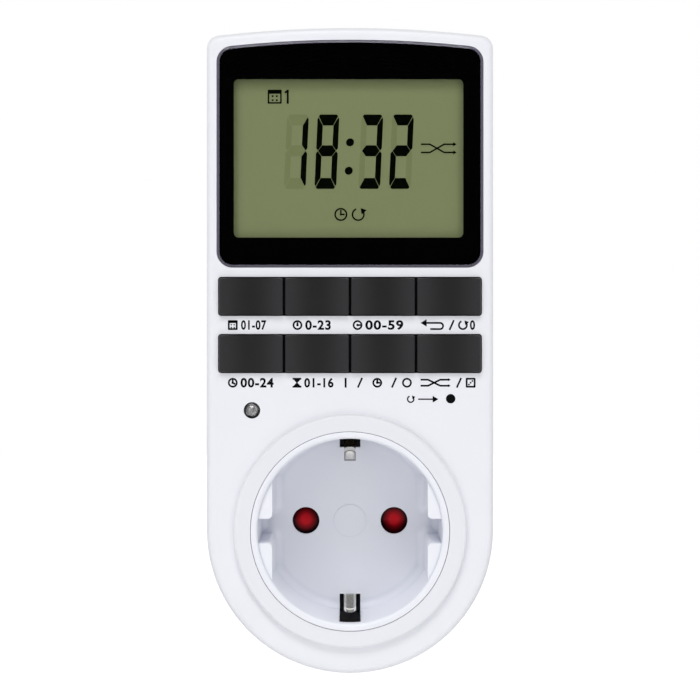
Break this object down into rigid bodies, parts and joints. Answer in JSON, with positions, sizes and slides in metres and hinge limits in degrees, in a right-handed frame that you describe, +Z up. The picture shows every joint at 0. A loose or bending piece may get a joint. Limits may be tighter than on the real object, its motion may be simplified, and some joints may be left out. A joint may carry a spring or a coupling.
{
  "type": "digital plug-in timer",
  "caption": "Slim upright plug-in timer with a display window, rows of keys, an earthed socket in front and a plug behind.",
  "frame": {"origin": "on the common axis of the socket and the plug, at the back face of the housing", "axes": "+X right as seen from the front, +Y into the wall socket along the plug pins, +Z up"},
  "size_m": [0.059, 0.0757, 0.1331],
  "materials": {
    "white_plastic": "fine satin grain",
    "white_insert": "satin",
    "red_plastic": "gloss",
    "carrier_plastic": "matte",
    "spring_steel": "drawn",
    "brass": "satin",
    "nickel": "nickel plated",
    "clear_window": "polished",
    "black_print": "printed behind the window",
    "display_glass": "polished",
    "reflector_film": "satin",
    "holder_plastic": "matte",
    "elastomer": "matte",
    "key_plastic": "fine matte grain",
    "switch_plastic": "matte",
    "lamp_resin": "clear",
    "board": "green lacquer",
    "resin": "gloss",
    "crystal_can": "brushed",
    "relay_case": "satin",
    "film_case": "gloss",
    "can_sleeve": "shrunk sleeve",
    "varistor_coat": "dipped",
    "part_body": "gloss",
    "header": "plated pins",
    "steel": "zinc plated"
  },
  "bodies": {
    "housing": {"front_cover": "white_plastic", "rear_cover": "white_plastic", "socket_insert": "white_insert", "shutter_spring": "spring_steel", "contact_carrier": "carrier_plastic", "live_contact": "brass", "neutral_contact": "brass", "socket_earth_strap": "nickel", "plug_earth_strap": "nickel", "earth_rivet": "brass", "live_pin": "nickel", "neutral_pin": "nickel", "live_strap": "brass", "neutral_strap": "brass", "display_window": "clear_window", "window_mask": "black_print", "lcd_panel": "display_glass", "lcd_reflector": "reflector_film", "lcd_holder": "holder_plastic", "contact_strip": "elastomer", "keypad_mat": "elastomer", "reset_switch": "switch_plastic", "status_lamp": "lamp_resin", "logic_board": "board", "chip_cover": "resin", "quartz_crystal": "crystal_can", "backup_battery": "crystal_can", "power_board": "board", "relay": "relay_case", "film_capacitor": "film_case", "can_capacitor": "can_sleeve", "varistor": "varistor_coat", "fuse": "part_body", "rectifier_diodes": "part_body", "board_header": "header", "case_screws": "steel", "board_screws": "steel"},
    "shutter": {"shutter": "red_plastic"},
    "reset_button": {"reset_button": "key_plastic"},
    "upper_key_1": {"upper_key_1": "key_plastic"},
    "upper_key_2": {"upper_key_2": "key_plastic"},
    "upper_key_3": {"upper_key_3": "key_plastic"},
    "upper_key_4": {"upper_key_4": "key_plastic"},
    "lower_key_1": {"lower_key_1": "key_plastic"},
    "lower_key_2": {"lower_key_2": "key_plastic"},
    "lower_key_3": {"lower_key_3": "key_plastic"},
    "lower_key_4": {"lower_key_4": "key_plastic"}
  },
  "joints": [
    {"name": "shutter_turn", "type": "hinge", "parent": "housing", "child": "shutter", "pos_m": [0, -0.019, 0], "axis": [0, -1, 0], "range_deg": [0, 40], "stiffness_Nm_per_rad": 0.012, "deforming": ["shutter_spring"]},
    {"name": "reset_press", "type": "slide", "parent": "housing", "child": "reset_button", "axis": [0, 1, 0], "range_m": [0, 0.00035], "stiffness_N_per_m": 900},
    {"name": "upper_key_1_press", "type": "slide", "parent": "housing", "child": "upper_key_1", "axis": [0, 1, 0], "range_m": [0, 0.0009], "stiffness_N_per_m": 1300, "deforming": ["keypad_mat"]},
    {"name": "upper_key_2_press", "type": "slide", "parent": "housing", "child": "upper_key_2", "axis": [0, 1, 0], "range_m": [0, 0.0009], "stiffness_N_per_m": 1300, "deforming": ["keypad_mat"]},
    {"name": "upper_key_3_press", "type": "slide", "parent": "housing", "child": "upper_key_3", "axis": [0, 1, 0], "range_m": [0, 0.0009], "stiffness_N_per_m": 1300, "deforming": ["keypad_mat"]},
    {"name": "upper_key_4_press", "type": "slide", "parent": "housing", "child": "upper_key_4", "axis": [0, 1, 0], "range_m": [0, 0.0009], "stiffness_N_per_m": 1300, "deforming": ["keypad_mat"]},
    {"name": "lower_key_1_press", "type": "slide", "parent": "housing", "child": "lower_key_1", "axis": [0, 1, 0], "range_m": [0, 0.0009], "stiffness_N_per_m": 1300, "deforming": ["keypad_mat"]},
    {"name": "lower_key_2_press", "type": "slide", "parent": "housing", "child": "lower_key_2", "axis": [0, 1, 0], "range_m": [0, 0.0009], "stiffness_N_per_m": 1300, "deforming": ["keypad_mat"]},
    {"name": "lower_key_3_press", "type": "slide", "parent": "housing", "child": "lower_key_3", "axis": [0, 1, 0], "range_m": [0, 0.0009], "stiffness_N_per_m": 1300, "deforming": ["keypad_mat"]},
    {"name": "lower_key_4_press", "type": "slide", "parent": "housing", "child": "lower_key_4", "axis": [0, 1, 0], "range_m": [0, 0.0009], "stiffness_N_per_m": 1300, "deforming": ["keypad_mat"]}
  ]
}
